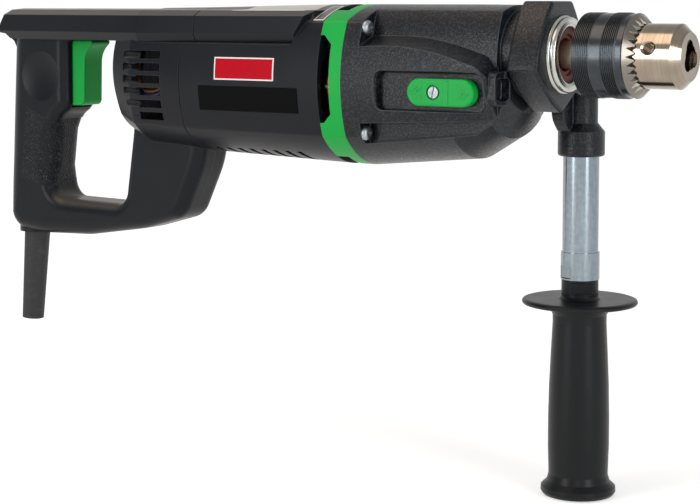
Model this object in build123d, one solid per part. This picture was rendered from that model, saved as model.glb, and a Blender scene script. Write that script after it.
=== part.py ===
from build123d import *
import math
import os

# A corded two-speed hand drill with a D handle, a keyed chuck and a clamp-on side handle.
# Millimetres. The spindle turns about X, with the chuck forward along +X, +Z up and +Y to the tool's left.
# The origin is on the spindle axis, within the chuck jaws' grip.

# Driving dimensions: stations along the spindle axis
nose_x = 13.5
jaw_front_x = 11.0
jaw_back_x = -30.0
clamp_face_x = -60.0
clamp_back_x = -78.3
gearbox_nose_x = -78.8
gearbox_flange_x = -80.6
roof_end_x = -85.5
gearbox_panel_x = -86.0
gearbox_bend_x = -108.0
screw_seat_x = -165.5
gearbox_rear_x = -176.2
ring_band_x = -184.0
ring_rear_x = -191.8
housing_rear_x = -292.0
drum_full_x = -332.0
drum_round_x = -348.0
drum_rear_x = -355.5
handle_tip_x = -463.0

# Driving dimensions: axes and fits
motor_z = -20.0
running_gap = 0.04
collar_r = 21.5
collar_back_x = -89.5
collar_bore_r = 16.0
neck_r = 24.2
spindle_r = 7.5

# Outside sections of the body at its stations:
# half width, top, bottom, then y and z of the upper and lower corners
housing_rear_section = (42.0, 25.5, -62.0, 35.0, 17.0, 36.5, -46.0)
housing_front_section = (43.0, 27.3, -65.0, 35.6, 17.9, 37.4, -47.0)
gearbox_bend_section = (43.0, 27.2, -58.5, 35.6, 17.9, 37.4, -43.0)
gearbox_panel_section = (42.0, 27.0, -46.5, 35.0, 17.5, 30.5, -36.0)
gearbox_nose_section = (28.0, 26.5, -28.5, 19.8, 18.5, 19.8, -20.5)
drum_full_section = (40.0, 25.0, -60.0, 34.0, 16.5, 34.5, -45.0)
drum_rear_section = (35.0, 22.0, -53.5, 29.0, 14.0, 28.0, -40.0)
corner_r = 4.0
housing_bore_r = 39.2
fan_bore_r = 37.5
gear_plate_r = 38.0
gear_plate_z = -18.0

# Gear train, module 0.75: pinion on the armature, countershaft, two wheels on the spindle
module = 0.75
pressure_angle = math.radians(20)
armature_teeth = 9
middle_teeth = 45
low_pinion_teeth = 15
low_wheel_teeth = 45
high_pinion_teeth = 24
high_wheel_teeth = 36
tooth_gap = 0.12
gear_width = 8.0
spindle_spacing = module * (low_pinion_teeth + low_wheel_teeth) / 2
armature_spacing = module * (armature_teeth + middle_teeth) / 2
counter_z = (armature_spacing ** 2 - spindle_spacing ** 2 - motor_z ** 2) / (-2 * motor_z)
counter_y = math.sqrt(spindle_spacing ** 2 - counter_z ** 2)
low_wheel_back_x = -111.0
high_wheel_front_x = -133.0
middle_front_x = -156.0

# Speed selector
selector_travel = 12.0
selector_z = -20.2
knob_centre_x = -112.0
knob_length = 41.5
knob_height = 15.0
knob_face_y = -43.4
recess_centre_x = -120.5
recess_length = 66.0
recess_height = 21.0
recess_floor_y = -35.5
fork_x = -116.0
fork_width = 4.0
dog_ring_width = 9.0
dog_length = 3.5
dog_ring_r = 13.5

# Motor
core_back_x = -262.0
core_front_x = -206.0
commutator_back_x = -282.0
commutator_front_x = -272.5
fan_r = 36.0
fan_nose_x = -194.0
fan_rim_x = -181.4
fan_blades = 11
brush_bore_r = 33.0
lead_r = 1.2

# Chuck
chuck_thread_r = 6.35
sleeve_r = 22.9
sleeve_back_x = -44.3
sleeve_front_x = -15.4
sleeve_teeth = 28
chuck_r = 17.3
jaw_angle = 12.0
jaw_r = 4.2
jaw_front_axis_r = 5.137
jaw_turn = 104.0
grip_r = 5.0
smallest_grip_r = 1.36
nose_bore_r = 6.8
nut_back_x = -24.2
nut_front_x = -15.0
nut_r = 20.0
key_hole_x = -3.3
key_hole_r = 3.1

# Side handle: a clamp ring with a tangential screw on the tool's left
side_x = -69.0
side_y = 42.2
clamp_top_z = 29.0
clamp_top_half = 12.0
clamp_corner = (31.0, -7.6)
clamp_low_z = -31.6
clamp_round = 1.9
clamp_post_r = 9.25
lug_half = 8.2
stud_r = 5.0
grip_bottom_z = -252.0
flange_z = -140.0

# D handle
grip_half_width = 16.0
handle_round = 8.0
beam_half_width = 40.6
beam_lean = 1.4
beam_top_z = 24.5
beam_shoulder_z = 20.5
beam_edge_z = 10.0
beam_under_z = 5.0
beam_full_x = -326.0
beam_seam_x = -282.0
seam_gap = 0.6
wall = 3.6
thumb_x = -426.0
thumb_z = -19.0
thumb_length = 26.0
thumb_height = 26.0
thumb_depth = 1.9
trigger_half_width = 8.8
trigger_low_z = -38.0
gland_x = -445.0
sleeve_axis = Pos(gland_x - 2.6, 0, -149.5) * Rot(0, 4.9, 0)
cord_bore_r = 4.2
vent_count = 6
vent_top_z = -3.0
vent_step = 7.4
vent_scoop_y = 38.5

parts_made = {}


def keep(name, shape):
    """Gives a finished piece its node name."""
    parts_made[name] = shape


def rod(radius, x_from, x_to, y=0.0, z=0.0):
    """A cylinder along X."""
    return extrude(Plane.YZ.offset(x_from) * Pos(y, z) * Circle(radius), x_to - x_from)


def tube(outer_r, inner_r, x_from, x_to, y=0.0, z=0.0):
    """A plain ring along X."""
    return rod(outer_r, x_from, x_to, y, z) - rod(inner_r, x_from - 1, x_to + 1, y, z)


def rod_y(radius, y_from, y_to, x, z):
    """A cylinder along Y."""
    return Pos(x, (y_from + y_to) / 2, z) * Rot(90, 0, 0) * Cylinder(radius, y_to - y_from)


def post(radius, z_from, z_to, x=0.0, y=0.0):
    """A cylinder along Z."""
    return extrude(Plane.XY.offset(z_from) * Pos(x, y) * Circle(radius), z_to - z_from)


def block(x_from, x_to, y_from, y_to, z_from, z_to):
    """A box between two corners."""
    middle = ((x_from + x_to) / 2, (y_from + y_to) / 2, (z_from + z_to) / 2)
    return Pos(*middle) * Box(x_to - x_from, y_to - y_from, z_to - z_from)


def side_prism(points, y_from, y_to):
    """A polygon drawn in side view, as (x, z), made solid between two Y planes."""
    outline = Polyline(*[(x, z) for x, z in points], close=True)
    drawing = Plane((0, y_from, 0), x_dir=(1, 0, 0), z_dir=(0, -1, 0)) * make_face(outline)
    return extrude(drawing, -(y_to - y_from))


def rounded_loop(corners):
    """A closed outline in side view from corners given as (x, z, radius)."""
    points = [(x, z) for x, z, radius in corners]
    radii = [radius for x, z, radius in corners]
    return FilletPolyline(*points, radius=radii, close=True)


def front_prism(points, x_from, x_to):
    """A polygon drawn in front view, as (y, z), made solid between two X planes."""
    outline = Polyline(*points, close=True)
    return extrude(Plane.YZ.offset(x_from) * make_face(outline), x_to - x_from)


def mirrored_y(shape):
    """The shape and its mirror image across the tool's middle plane."""
    return shape + mirror(shape, about=Plane.XZ)


def body_outline(x, section, inset=0.0):
    """The body's rounded section at a station, as a face across X."""
    half, top, bottom, top_y, top_z, low_y, low_z = section
    half, top, bottom = half - inset, top - inset, bottom + inset
    top_y, top_z = top_y - 0.85 * inset, top_z - 0.7 * inset
    low_y, low_z = low_y - 0.85 * inset, low_z + 0.6 * inset
    middle_z = (top_z + low_z) / 2
    arcs = [
        ThreePointArc((-top_y, top_z), (0, top), (top_y, top_z)),
        ThreePointArc((top_y, top_z), (half, middle_z), (low_y, low_z)),
        ThreePointArc((low_y, low_z), (0, bottom), (-low_y, low_z)),
        ThreePointArc((-low_y, low_z), (-half, middle_z), (-top_y, top_z)),
    ]
    face = make_face(arcs)
    return Plane.YZ.offset(x) * fillet(face.vertices(), corner_r)


def body_between(x_back, back_section, x_front, front_section, inset=0.0):
    """The body's outside between two stations."""
    return loft([body_outline(x_back, back_section, inset), body_outline(x_front, front_section, inset)])


def involute(angle):
    """The involute function of a pressure angle in radians."""
    return math.tan(angle) - angle


def gear_outline(teeth):
    """A spur gear's outline: involute flanks thinned for backlash, undercut to the root on small pinions."""
    pitch_r = module * teeth / 2
    tip_r = pitch_r + 0.9 * module
    root_r = pitch_r - 1.25 * module
    base_r = pitch_r * math.cos(pressure_angle)
    half_tooth = math.pi / (2 * teeth) - tooth_gap / (2 * pitch_r) + involute(pressure_angle)
    start_r = max(base_r, root_r)
    flank = []
    if root_r < base_r:
        flank.append((root_r, 0.8 * half_tooth))
    for step in range(4):
        radius = start_r + (tip_r - start_r) * step / 3
        flank.append((radius, half_tooth - involute(math.acos(min(1.0, base_r / radius)))))
    points = []
    for tooth in range(teeth):
        middle = 2 * math.pi * tooth / teeth
        for radius, turn in flank:
            points.append((radius * math.cos(middle - turn), radius * math.sin(middle - turn)))
        for radius, turn in reversed(flank):
            points.append((radius * math.cos(middle + turn), radius * math.sin(middle + turn)))
    return make_face(Polyline(*points, close=True))


def gear(teeth, x_from, x_to, y, z, first_tooth, bore_r=0.0):
    """A spur gear about an axis along X, with the middle of one tooth at the given angle from +Y."""
    face = Rot(0, 0, first_tooth) * gear_outline(teeth)
    wheel = extrude(Plane.YZ.offset(x_from) * Pos(y, z) * face, x_to - x_from)
    if bore_r:
        wheel -= rod(bore_r, x_from - 1, x_to + 1, y, z)
    return wheel


def mesh_angle(y, z, other_y, other_z):
    """The angle from +Y at which one gear's centre sees another's."""
    return math.degrees(math.atan2(other_z - z, other_y - y))


def ball_bearing(outer_r, bore_r, x_from, x_to, y=0.0, z=0.0):
    """A shielded bearing: a ring with a shallow step between its races on both faces."""
    step_out = outer_r - 0.22 * (outer_r - bore_r)
    step_in = bore_r + 0.22 * (outer_r - bore_r)
    ring = tube(outer_r, bore_r, x_from, x_to, y, z)
    ring -= tube(step_out, step_in, x_from - 1, x_from + 0.4, y, z)
    return ring - tube(step_out, step_in, x_to - 0.4, x_to + 1, y, z)


def pan_screw(head_r, shank_r, seat_x, length, y, z):
    """A pan-head machine screw with a cross recess, driven from the front towards -X."""
    head = rod(head_r, seat_x, seat_x + 0.7 * head_r, y, z)
    head = fillet(head.edges().sort_by(Axis.X)[-1], 0.5 * head_r)
    top = seat_x + 0.7 * head_r
    slot = block(top - 0.3 * head_r, top + 1, y - 0.6 * head_r, y + 0.6 * head_r, z - 0.12 * head_r,
                 z + 0.12 * head_r)
    cross = slot + Pos(0, y, z) * Rot(90, 0, 0) * Pos(0, -y, -z) * slot
    return head - cross + rod(shank_r, seat_x - length, seat_x, y, z)


# Screws that hold the gearbox, the air ring and the motor housing together
screw_places = [(-32.5, 14.2), (32.5, 14.2), (-33.5, -44.5), (33.5, -44.5)]
screw_r = 2.5
screw_length = 38.0


def screw_holes(x_from, x_to):
    """Clear holes for the long screws."""
    holes = Part()
    for y, z in screw_places:
        holes += rod(screw_r + 0.2, x_from, x_to, y, z)
    return holes


def make_gearbox():
    """The gearbox casting: rear flange, arched roof over the spindle, side panels and tapered nose."""
    shell = body_between(gearbox_rear_x, housing_front_section, gearbox_bend_x, gearbox_bend_section)
    shell += body_between(gearbox_bend_x, gearbox_bend_section, gearbox_panel_x - 2, gearbox_panel_section)
    shell += body_between(gearbox_panel_x - 2, gearbox_panel_section, gearbox_nose_x, gearbox_nose_section)

    # The side panels' upper edge falls towards the nose, and clears a driver's way to the upper screws
    def panel_edge(y, drop):
        start, bend, end = 9.5 - drop, 8.5 - drop, 1.5 - drop
        edge = ThreePointArc((screw_seat_x, start), (-125, bend), (-95, end))
        turn = ThreePointArc((-95, end), (-88, end - 4), (gearbox_panel_x, end - 12))
        rest = Polyline((gearbox_panel_x, end - 12), (gearbox_panel_x, -34 - drop / 2), (-60, -34 - drop / 2),
                        (-60, 45), (screw_seat_x, 45), (screw_seat_x, start))
        return Plane((0, y, 0), x_dir=(1, 0, 0), z_dir=(0, -1, 0)) * make_face([edge, turn, rest])

    upper_cut = loft([panel_edge(-25.8, 0), panel_edge(-47.5, 8.5)])
    lower_cut = side_prism([(screw_seat_x, -38.8), (gearbox_panel_x - 1, -35), (gearbox_panel_x - 1, -42),
                            (screw_seat_x, -50.5)], -60, -28.6)
    shell -= mirrored_y(upper_cut) + mirrored_y(lower_cut)
    # The roof over the spindle: leaning sides under a low arch, ending short of the nose
    corner, side, foot = (21, 23.5), (25.7, 12), (28, -6)
    shell -= mirrored_y(front_prism([corner, (26.0, 9.6), (60, 9.6), (60, 45), (21, 45)], screw_seat_x, -60))
    arch = ThreePointArc((-21, 23.5), (0, 27), corner)
    left = ThreePointArc(corner, side, foot)
    right = ThreePointArc((-28, -6), (-25.7, 12), (-21, 23.5))
    roof = make_face([arch, left, Line(foot, (-28, -6)), right])
    shell += extrude(Plane.YZ.offset(screw_seat_x) * roof, roof_end_x - screw_seat_x)
    shell -= block(roof_end_x, -60, -60, 60, -9, 60) + block(gearbox_flange_x, -60, -60, 60, -60, -9)
    shell += rod(neck_r, -92, gearbox_nose_x)
    # A lug with a pocket on each side of the nose
    lug = Plane.YZ.offset(-92) * Pos(-28, -18.1) * RectangleRounded(16, 18.2, 4)
    pocket = Plane.YZ.offset(-86) * Pos(-28, -18.6) * RectangleRounded(12.4, 12.4, 3)
    shell += mirrored_y(extrude(lug, 10))
    shell -= mirrored_y(extrude(pocket, 8))

    # Room for the gears, the bearing plate and the collar
    shell -= rod(gear_plate_r + 0.1, gearbox_rear_x - 1, -167.9, 0, gear_plate_z)
    shell -= rod(23.2, -169, -97)
    shell -= rod(18.7, -169, -97, counter_y, counter_z)
    shell -= rod(9, -169, -150, 0, motor_z)
    shell -= rod(6, -98, -90, counter_y, counter_z)
    shell -= rod(12.5, -98, -60)
    shell -= rod(collar_r + running_gap, collar_back_x - 0.2, -60)

    # Selector recess with its slot into the gear space
    recess_plane = Plane((recess_centre_x, -60, selector_z), x_dir=(1, 0, 0), z_dir=(0, -1, 0))
    recess = extrude(recess_plane * RectangleRounded(recess_length, recess_height, 4), -(60 + recess_floor_y))
    rim = [Plane((recess_centre_x, y, selector_z), x_dir=(1, 0, 0), z_dir=(0, -1, 0))
           * RectangleRounded(recess_length + grow, recess_height + grow, 4 + grow / 2)
           for y, grow in ((-43.4, 2.6), (-41.2, 0.0))]
    shell -= recess + loft(rim)
    shell -= block(fork_x - selector_travel - 4, fork_x + 4, -40, -3, selector_z - 4.5, selector_z + 4.5)
    shell -= screw_holes(gearbox_rear_x - 1, screw_seat_x + 1)
    return shell


def make_air_ring():
    """The air outlet ring: a band with four corner lugs, open between them for the fan's air."""
    ring = extrude(body_outline(ring_rear_x, housing_front_section), gearbox_rear_x - ring_rear_x)
    ring -= rod(fan_bore_r, ring_rear_x - 1, gearbox_rear_x + 1, 0, motor_z)
    ring -= side_prism([(ring_band_x, 4.8), (-189.3, 10), (ring_rear_x - 1, 10), (ring_rear_x - 1, -39.5),
                        (-189.3, -39.5), (ring_band_x, -34.5)], -60, 60)
    ring -= block(ring_rear_x - 1, ring_band_x, -22, 22, -90, 60)
    return ring - screw_holes(ring_rear_x - 1, gearbox_rear_x + 1)


# Plates on the motor housing's right flank: x from and to, z from and to
name_plate = (-277.0, -206.0, -34.6, -20.4)
badge_plate = (-265.0, -222.2, -16.6, -3.4)
plate_bed = 0.6
plate_height = 0.3


def plate_block(plate, room):
    """A block on the right flank as large as a plate, or, with room added, its bed."""
    x_from, x_to, z_from, z_to = plate
    return block(x_from - room, x_to + room, -60, -30, z_from - room, z_to + room)


def beam_section(x, half, lean, under_z):
    """The top beam's section at a station, as a face across X."""
    under_y = half - 0.55 * (beam_edge_z - under_z)
    edge = [(half, beam_edge_z), (half - lean, beam_shoulder_z), (half - lean - 6, beam_top_z - 0.8)]
    points = [(-under_y, under_z), (under_y, under_z)] + edge + [(0, beam_top_z)]
    points += [(-y, z) for y, z in reversed(edge)]
    return Plane.YZ.offset(x) * make_face(Polyline(*points, close=True))


def flank_groove():
    """A groove along each flank under the top beam, over the drum and the motor housing alike."""
    outline = rounded_loop([(-327, 3, 5), (-212, 3, 5), (-208.5, 12, 3), (-327, 12, 3)])
    along = extrude(Plane((0, -60, 0), x_dir=(1, 0, 0), z_dir=(0, -1, 0)) * make_face(outline), -40)
    across = front_prism([(-50, beam_edge_z), (-37.4, beam_edge_z), (-37.4, 4.6), (-50, 2.6)], -340, -200)
    return mirrored_y(along & across)


def make_motor_housing():
    """The motor housing: a tapered barrel with a raised beam along its top and a bearing bridge behind."""
    shell = body_between(housing_rear_x, housing_rear_section, ring_rear_x, housing_front_section)
    shell = chamfer(shell.faces().sort_by(Axis.X)[0].edges(), seam_gap)
    shell -= flank_groove()
    beam = extrude(beam_section(beam_seam_x + seam_gap, beam_half_width, beam_lean, 1.6), 85)
    # The beam's front end is sloped back and runs out into the flanks
    slope = []
    for z, x in ((0, -215.5), (12, -209.5), (26, -202.5)):
        corners = [(x, -42), (x + 4, -34), (-180, -34), (-180, -42)]
        slope.append(Plane.XY.offset(z) * make_face(Polyline(*corners, close=True)))
    beam -= mirrored_y(loft(slope, ruled=True)) + block(-200, -180, -60, 60, 0, 30)
    shell += beam
    shell -= rod(housing_bore_r, -274, ring_rear_x + 1, 0, motor_z)
    shell -= rod(brush_bore_r, -287, -270, 0, motor_z)
    shell += rod(14.5, -300, -283, 0, motor_z)
    shell -= rod(11.02, -301, -291, 0, motor_z)
    shell -= rod(6, -292, -280, 0, motor_z)
    # Air ways through the end wall, round the bearing seat
    for turn in (0, 90, 180, 270):
        way = rod(6.5, -293, -280, 0, 23.5)
        shell -= Pos(0, 0, motor_z) * Rot(turn + 45, 0, 0) * way
    # Slanted louvres round the underside of the barrel
    for louvre in range(8):
        x = -212 - 9.0 * louvre
        cut = side_prism([(x, -74), (x + 3.4, -74), (x - 4.0, -58), (x - 7.4, -58)], -28, 28)
        shell -= cut
    shell -= screw_holes(screw_seat_x - screw_length - 1, ring_rear_x + 1)
    # Shallow beds for the two plates on the right flank
    bed_floor = body_between(housing_rear_x, housing_rear_section, ring_rear_x, housing_front_section,
                             plate_bed)
    for plate in (name_plate, badge_plate):
        shell -= plate_block(plate, 0.1) - bed_floor
    return shell


def make_handle_form():
    """The D handle as one closed form, before it is hollowed and split: drum, beam, grip, bar and pillar."""
    form = body_between(drum_full_x, drum_full_section, housing_rear_x, housing_rear_section)
    form += body_between(drum_round_x, drum_rear_section, drum_full_x, drum_full_section)
    form += loft([body_outline(drum_rear_x, drum_rear_section, 8),
                  body_outline(drum_round_x, drum_rear_section)])
    form -= flank_groove()

    outer = [(-291, -40, 12), (-298, -72, 60), (-313, -104, 14), (-345, -113, 60), (-390, -120, 60),
             (-430, -121.5, 60), (-455.5, -118.5, 13), (-458.4, -88, 60), (-457, -47, 90), (-453.2, 23, 12),
             (-291, 23, 12)]
    inner = [(-404.5, 6, 5), (-404.5, -39.5, 9), (-415, -46, 12), (-421.5, -97.5, 11), (-359, -98.5, 9),
             (-352, -50, 60), (-352, 6, 5)]
    plate_plane = Plane((0, -grip_half_width, 0), x_dir=(1, 0, 0), z_dir=(0, -1, 0))
    face = make_face(rounded_loop(outer)) - make_face(rounded_loop(inner))
    plate = extrude(plate_plane * face, -2 * grip_half_width)
    plate = fillet(plate.faces().filter_by(Axis.Y).edges(), handle_round)
    plate -= block(housing_rear_x, housing_rear_x + 20, -60, 60, -150, 60)

    # The grip's corners are rounder than the rest of the handle's, and tighten where it meets the bar:
    # z, x of the grip's edge, corner radius
    grip_middle_x = -437.0
    back_stations = [(8, -454.0, 14.0), (-40, -456.6, 14.0), (-70, -457.8, 13.5), (-90, -458.1, 12.0),
                     (-100, -457.3, 10.0), (-108, -456.5, 8.2)]
    front_stations = [(-46.5, -415.1, 8.1), (-54, -416.0, 12.5), (-78, -419.0, 12.5), (-87, -420.2, 8.1)]
    for stations, away in ((back_stations, -25), (front_stations, 25)):
        sections = []
        for z, edge_x, radius in stations:
            face = Rectangle(abs(edge_x - grip_middle_x), 2 * grip_half_width)
            face = Pos((edge_x + grip_middle_x) / 2, 0) * face
            corners = face.vertices().sort_by(Axis.X, reverse=away > 0)[:2]
            sections.append(Plane.XY.offset(z) * fillet(corners, radius))
        x_from, x_to = sorted((grip_middle_x, stations[0][1] + away))
        plate -= block(x_from, x_to, -30, 30, stations[-1][0], stations[0][0]) - loft(sections, ruled=True)
    form += plate

    full_section = beam_section(beam_full_x, beam_half_width, beam_lean, beam_under_z)
    beam = loft([beam_section(handle_tip_x, grip_half_width + 0.5, beam_lean, beam_under_z), full_section])
    beam += extrude(full_section, beam_seam_x - beam_full_x)
    beam -= side_prism([(handle_tip_x - 1, 26), (handle_tip_x - 1, 9.0), (handle_tip_x + 9, 26)], -60, 60)
    beam -= side_prism([(handle_tip_x - 1, 3), (handle_tip_x - 1, 9.2), (-455.5, 8.2), (-450, 3)], -60, 60)
    # Past the drum the beam lies on the motor housing, so it is cut to the housing's outside
    housing = body_between(housing_rear_x, housing_rear_section, ring_rear_x, housing_front_section, -0.15)
    form += beam - (housing - flank_groove())
    # The beam's tip runs down into the back of the grip in a hollow curve
    web = [(-461, 8.8), (-457.1, 5.9), (-453.3, 3.2), (-451, -1), (-450.3, -5), (-450.2, -9), (-444, -9),
           (-444, 12),
           (-459, 12)]
    form += side_prism(web, -11, 11)
    # A hollow for the thumb on each side of the grip
    dent = scale(Sphere(1), by=(thumb_length, 9, thumb_height)) - block(-50, 50, -50, 50, -thumb_z, 50)
    form -= mirrored_y(Pos(thumb_x, -grip_half_width - 9 + thumb_depth, thumb_z) * dent)
    return form + post(11.5, -121.8, -112, gland_x, 0)


# Screws through the handle, driven from the left: x and z
handle_screw_places = [(-445, 14.5), (-414, 14.5), (-446.5, -103), (-365, -107), (-322, -78)]
handle_screw_seat_y = 11.5


def make_handle_shells():
    """The handle's two halves: hollow, with vents, screw bosses and the trigger's window."""
    form = make_handle_form()
    hollow = body_between(drum_full_x, drum_full_section, housing_rear_x + 1, housing_rear_section, wall)
    hollow += body_between(drum_round_x, drum_rear_section, drum_full_x, drum_full_section, wall)
    hollow += side_prism([(-446, 4), (-446.5, -60), (-449, -98), (-429, -98), (-427, -50), (-413, -31),
                          (-413, 4)],
                         -11.5, 11.5)
    hollow += side_prism([(-449, -103), (-449, -113), (-392, -114), (-346, -107.5), (-346, -103.5)], -11.5,
                         11.5)
    hollow += side_prism([(-449, -97), (-449, -104), (-430, -104), (-430, -97)], -11.5, 11.5)
    hollow += side_prism([(-352, -104), (-346, -50), (-303, -50), (-306, -72), (-320, -103)], -11.5, 11.5)
    rear_end = Plane.YZ.offset(-450) * Pos(0, 14) * Rectangle(22, 12)
    front_end = Plane.YZ.offset(-330) * Pos(0, 14) * Rectangle(58, 12)
    hollow += loft([rear_end, front_end])
    hollow += side_prism([(-446, 3), (-409, 3), (-409, 12), (-446, 12)], -11.5, 11.5)
    bosses = Part()
    for x, z in handle_screw_places:
        bosses += rod_y(4.2, -20, 20, x, z)
    shell = form - hollow + (bosses & form)
    for x, z in handle_screw_places:
        shell -= rod_y(1.9, -10, 40, x, z) + rod_y(3.7, handle_screw_seat_y, 45, x, z)

    # Air inlet slots on both flanks, each with a half-round scoop running out of its rear end
    for slot in range(vent_count):
        z = vent_top_z - vent_step * slot
        cut = block(-326, -307, -60, -25, z - 2.4, z + 2.4)
        scoop = Pos(-331, -vent_scoop_y, z) * Rot(0, 90, 0) * Cylinder(2.4, 14)
        shell -= mirrored_y(cut) + mirrored_y(scoop)

    # Trigger window in front, gland bore below
    window = trigger_half_width + 0.5
    shell -= block(-425, -400, -window, window, trigger_low_z - 0.9, 4.9)
    shell -= sleeve_axis * (Cylinder(8.75, 80) + Pos(0, 0, 33) * Cylinder(10.45, 3.3))
    right = shell - block(-500, -250, 0, 80, -200, 80)
    left = shell - block(-500, -250, -80, 0, -200, 80)
    keep("handle_shell_right", right)
    keep("handle_shell_left", left)
    screws = Part()
    for x, z in handle_screw_places:
        head = rod_y(3.4, handle_screw_seat_y, handle_screw_seat_y + 2.2, x, z)
        head -= block(x - 2.2, x + 2.2, handle_screw_seat_y + 1.3, handle_screw_seat_y + 3, z - 0.5, z + 0.5)
        head -= block(x - 0.5, x + 0.5, handle_screw_seat_y + 1.3, handle_screw_seat_y + 3, z - 2.2, z + 2.2)
        screws += head + rod_y(1.75, -8, handle_screw_seat_y, x, z)
    keep("handle_screws", screws)


def make_trigger():
    """The trigger, its switch and the return spring between them."""
    outline = rounded_loop([(-419, 4.3, 2), (-419, trigger_low_z, 2), (-395.3, trigger_low_z + 0.6, 3.5),
                            (-394.5, -4, 14), (-385.5, 4.3, 1.6)])
    plane = Plane((0, -trigger_half_width, 0), x_dir=(1, 0, 0), z_dir=(0, -1, 0))
    trigger = extrude(plane * make_face(outline), -2 * trigger_half_width)
    trigger = fillet(trigger.faces().filter_by(Axis.Y).edges(), 1.2)
    trigger -= rod(3.6, -420, -412.3, 0, -15)
    keep("trigger", trigger)
    switch = block(-445.5, -426.5, -10, 10, -42, 2)
    switch += rod(2.0, -426.5, -422, 0, -15)
    keep("switch_body", switch)
    coil = Helix(pitch=2.6, height=13, radius=2.9)
    wire = sweep(Plane(coil @ 0, z_dir=coil % 0) * Circle(0.35), path=coil)
    keep("trigger_spring", Pos(-426.2 + 0.5, 0, -15) * Rot(0, 90, 0) * wire)


def make_cord_entry():
    """The cord's bend-relief sleeve."""
    sleeve = sleeve_axis * (Pos(0, 0, 2) * Cone(7.05, 8.5, 66) + Pos(0, 0, 31) * Cylinder(8.5, 8))
    sleeve += sleeve_axis * Pos(0, 0, 33) * Cylinder(10.3, 3)
    sleeve -= sleeve_axis * Cylinder(cord_bore_r, 100)
    keep("cord_sleeve", sleeve)


def make_plates():
    """The bare name plate and the badge, curved to the motor housing's right flank."""
    stations = (housing_rear_x, housing_rear_section, ring_rear_x, housing_front_section)
    layer = body_between(*stations, -plate_height) - body_between(*stations, plate_bed - 0.02)
    keep("name_plate", plate_block(name_plate, 0) & layer)
    keep("badge_plate", plate_block(badge_plate, 0) & layer)


def make_gearbox_fittings():
    """What is fixed to the gearbox: bearing plate, collar, bearings, seal, screws and selector floor."""
    plate = rod(gear_plate_r, gearbox_rear_x, -168, 0, gear_plate_z)
    plate -= rod(12.02, gearbox_rear_x - 1, -169, 0, motor_z) + rod(8.5, -180, -160, 0, motor_z)
    plate -= rod(6.52, gearbox_rear_x - 1, -167, 0, 0)
    plate -= rod(6.02, gearbox_rear_x - 1, -167, counter_y, counter_z)
    keep("gear_plate", plate)
    keep("armature_front_bearing", ball_bearing(12, 4.5 + running_gap, gearbox_rear_x, -169.2, 0, motor_z))
    keep("spindle_rear_bush", tube(6.5, 4 + running_gap, gearbox_rear_x, -168))
    bushes = tube(6, 4 + running_gap, gearbox_rear_x, -168, counter_y, counter_z)
    bushes += tube(5.95, 4 + running_gap, -97.8, -90.2, counter_y, counter_z)
    keep("countershaft_bushes", bushes)

    # The collar ends in two bright rings with a groove between them
    collar = tube(collar_r - 0.02, collar_bore_r, collar_back_x, -57.6)
    collar = fillet(collar.edges().group_by(Axis.X)[-1].sort_by(SortBy.RADIUS)[-1], 1.6)
    lip = tube(collar_r - 1.0, collar_bore_r - 0.9, -57.3, -54.6)
    lip = fillet(lip.edges().group_by(Axis.X)[-1], 2.0)
    collar += lip + tube(collar_r - 2, collar_bore_r, -58, -56.5)
    collar += tube(collar_bore_r + 0.5, 9.8, -75, -72.1)
    keep("collar", collar)
    keep("spindle_front_bearing", ball_bearing(collar_bore_r - 0.02, spindle_r + running_gap, -72, -63))
    seal = tube(collar_bore_r - 0.05, 9.2, -62.8, -58.6) + tube(collar_bore_r - 0.05, 11.5, -58.6, -57.4)
    keep("spindle_seal", seal)

    screws = Part()
    for y, z in screw_places:
        screws += pan_screw(4.2, screw_r, screw_seat_x, screw_length, y, z)
    keep("gearbox_screws", screws)

    floor_plane = Plane((recess_centre_x, recess_floor_y - 1.6, selector_z), x_dir=(1, 0, 0),
                        z_dir=(0, -1, 0))
    floor = extrude(floor_plane * RectangleRounded(recess_length - 0.6, recess_height - 0.6, 3.6), -1.5)
    slot_middle = fork_x - selector_travel / 2
    floor -= block(slot_middle - selector_travel / 2 - 3.6, slot_middle + selector_travel / 2 + 3.6, -60, 0,
                   selector_z - 3.4, selector_z + 3.4)
    keep("selector_floor", floor)


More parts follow.
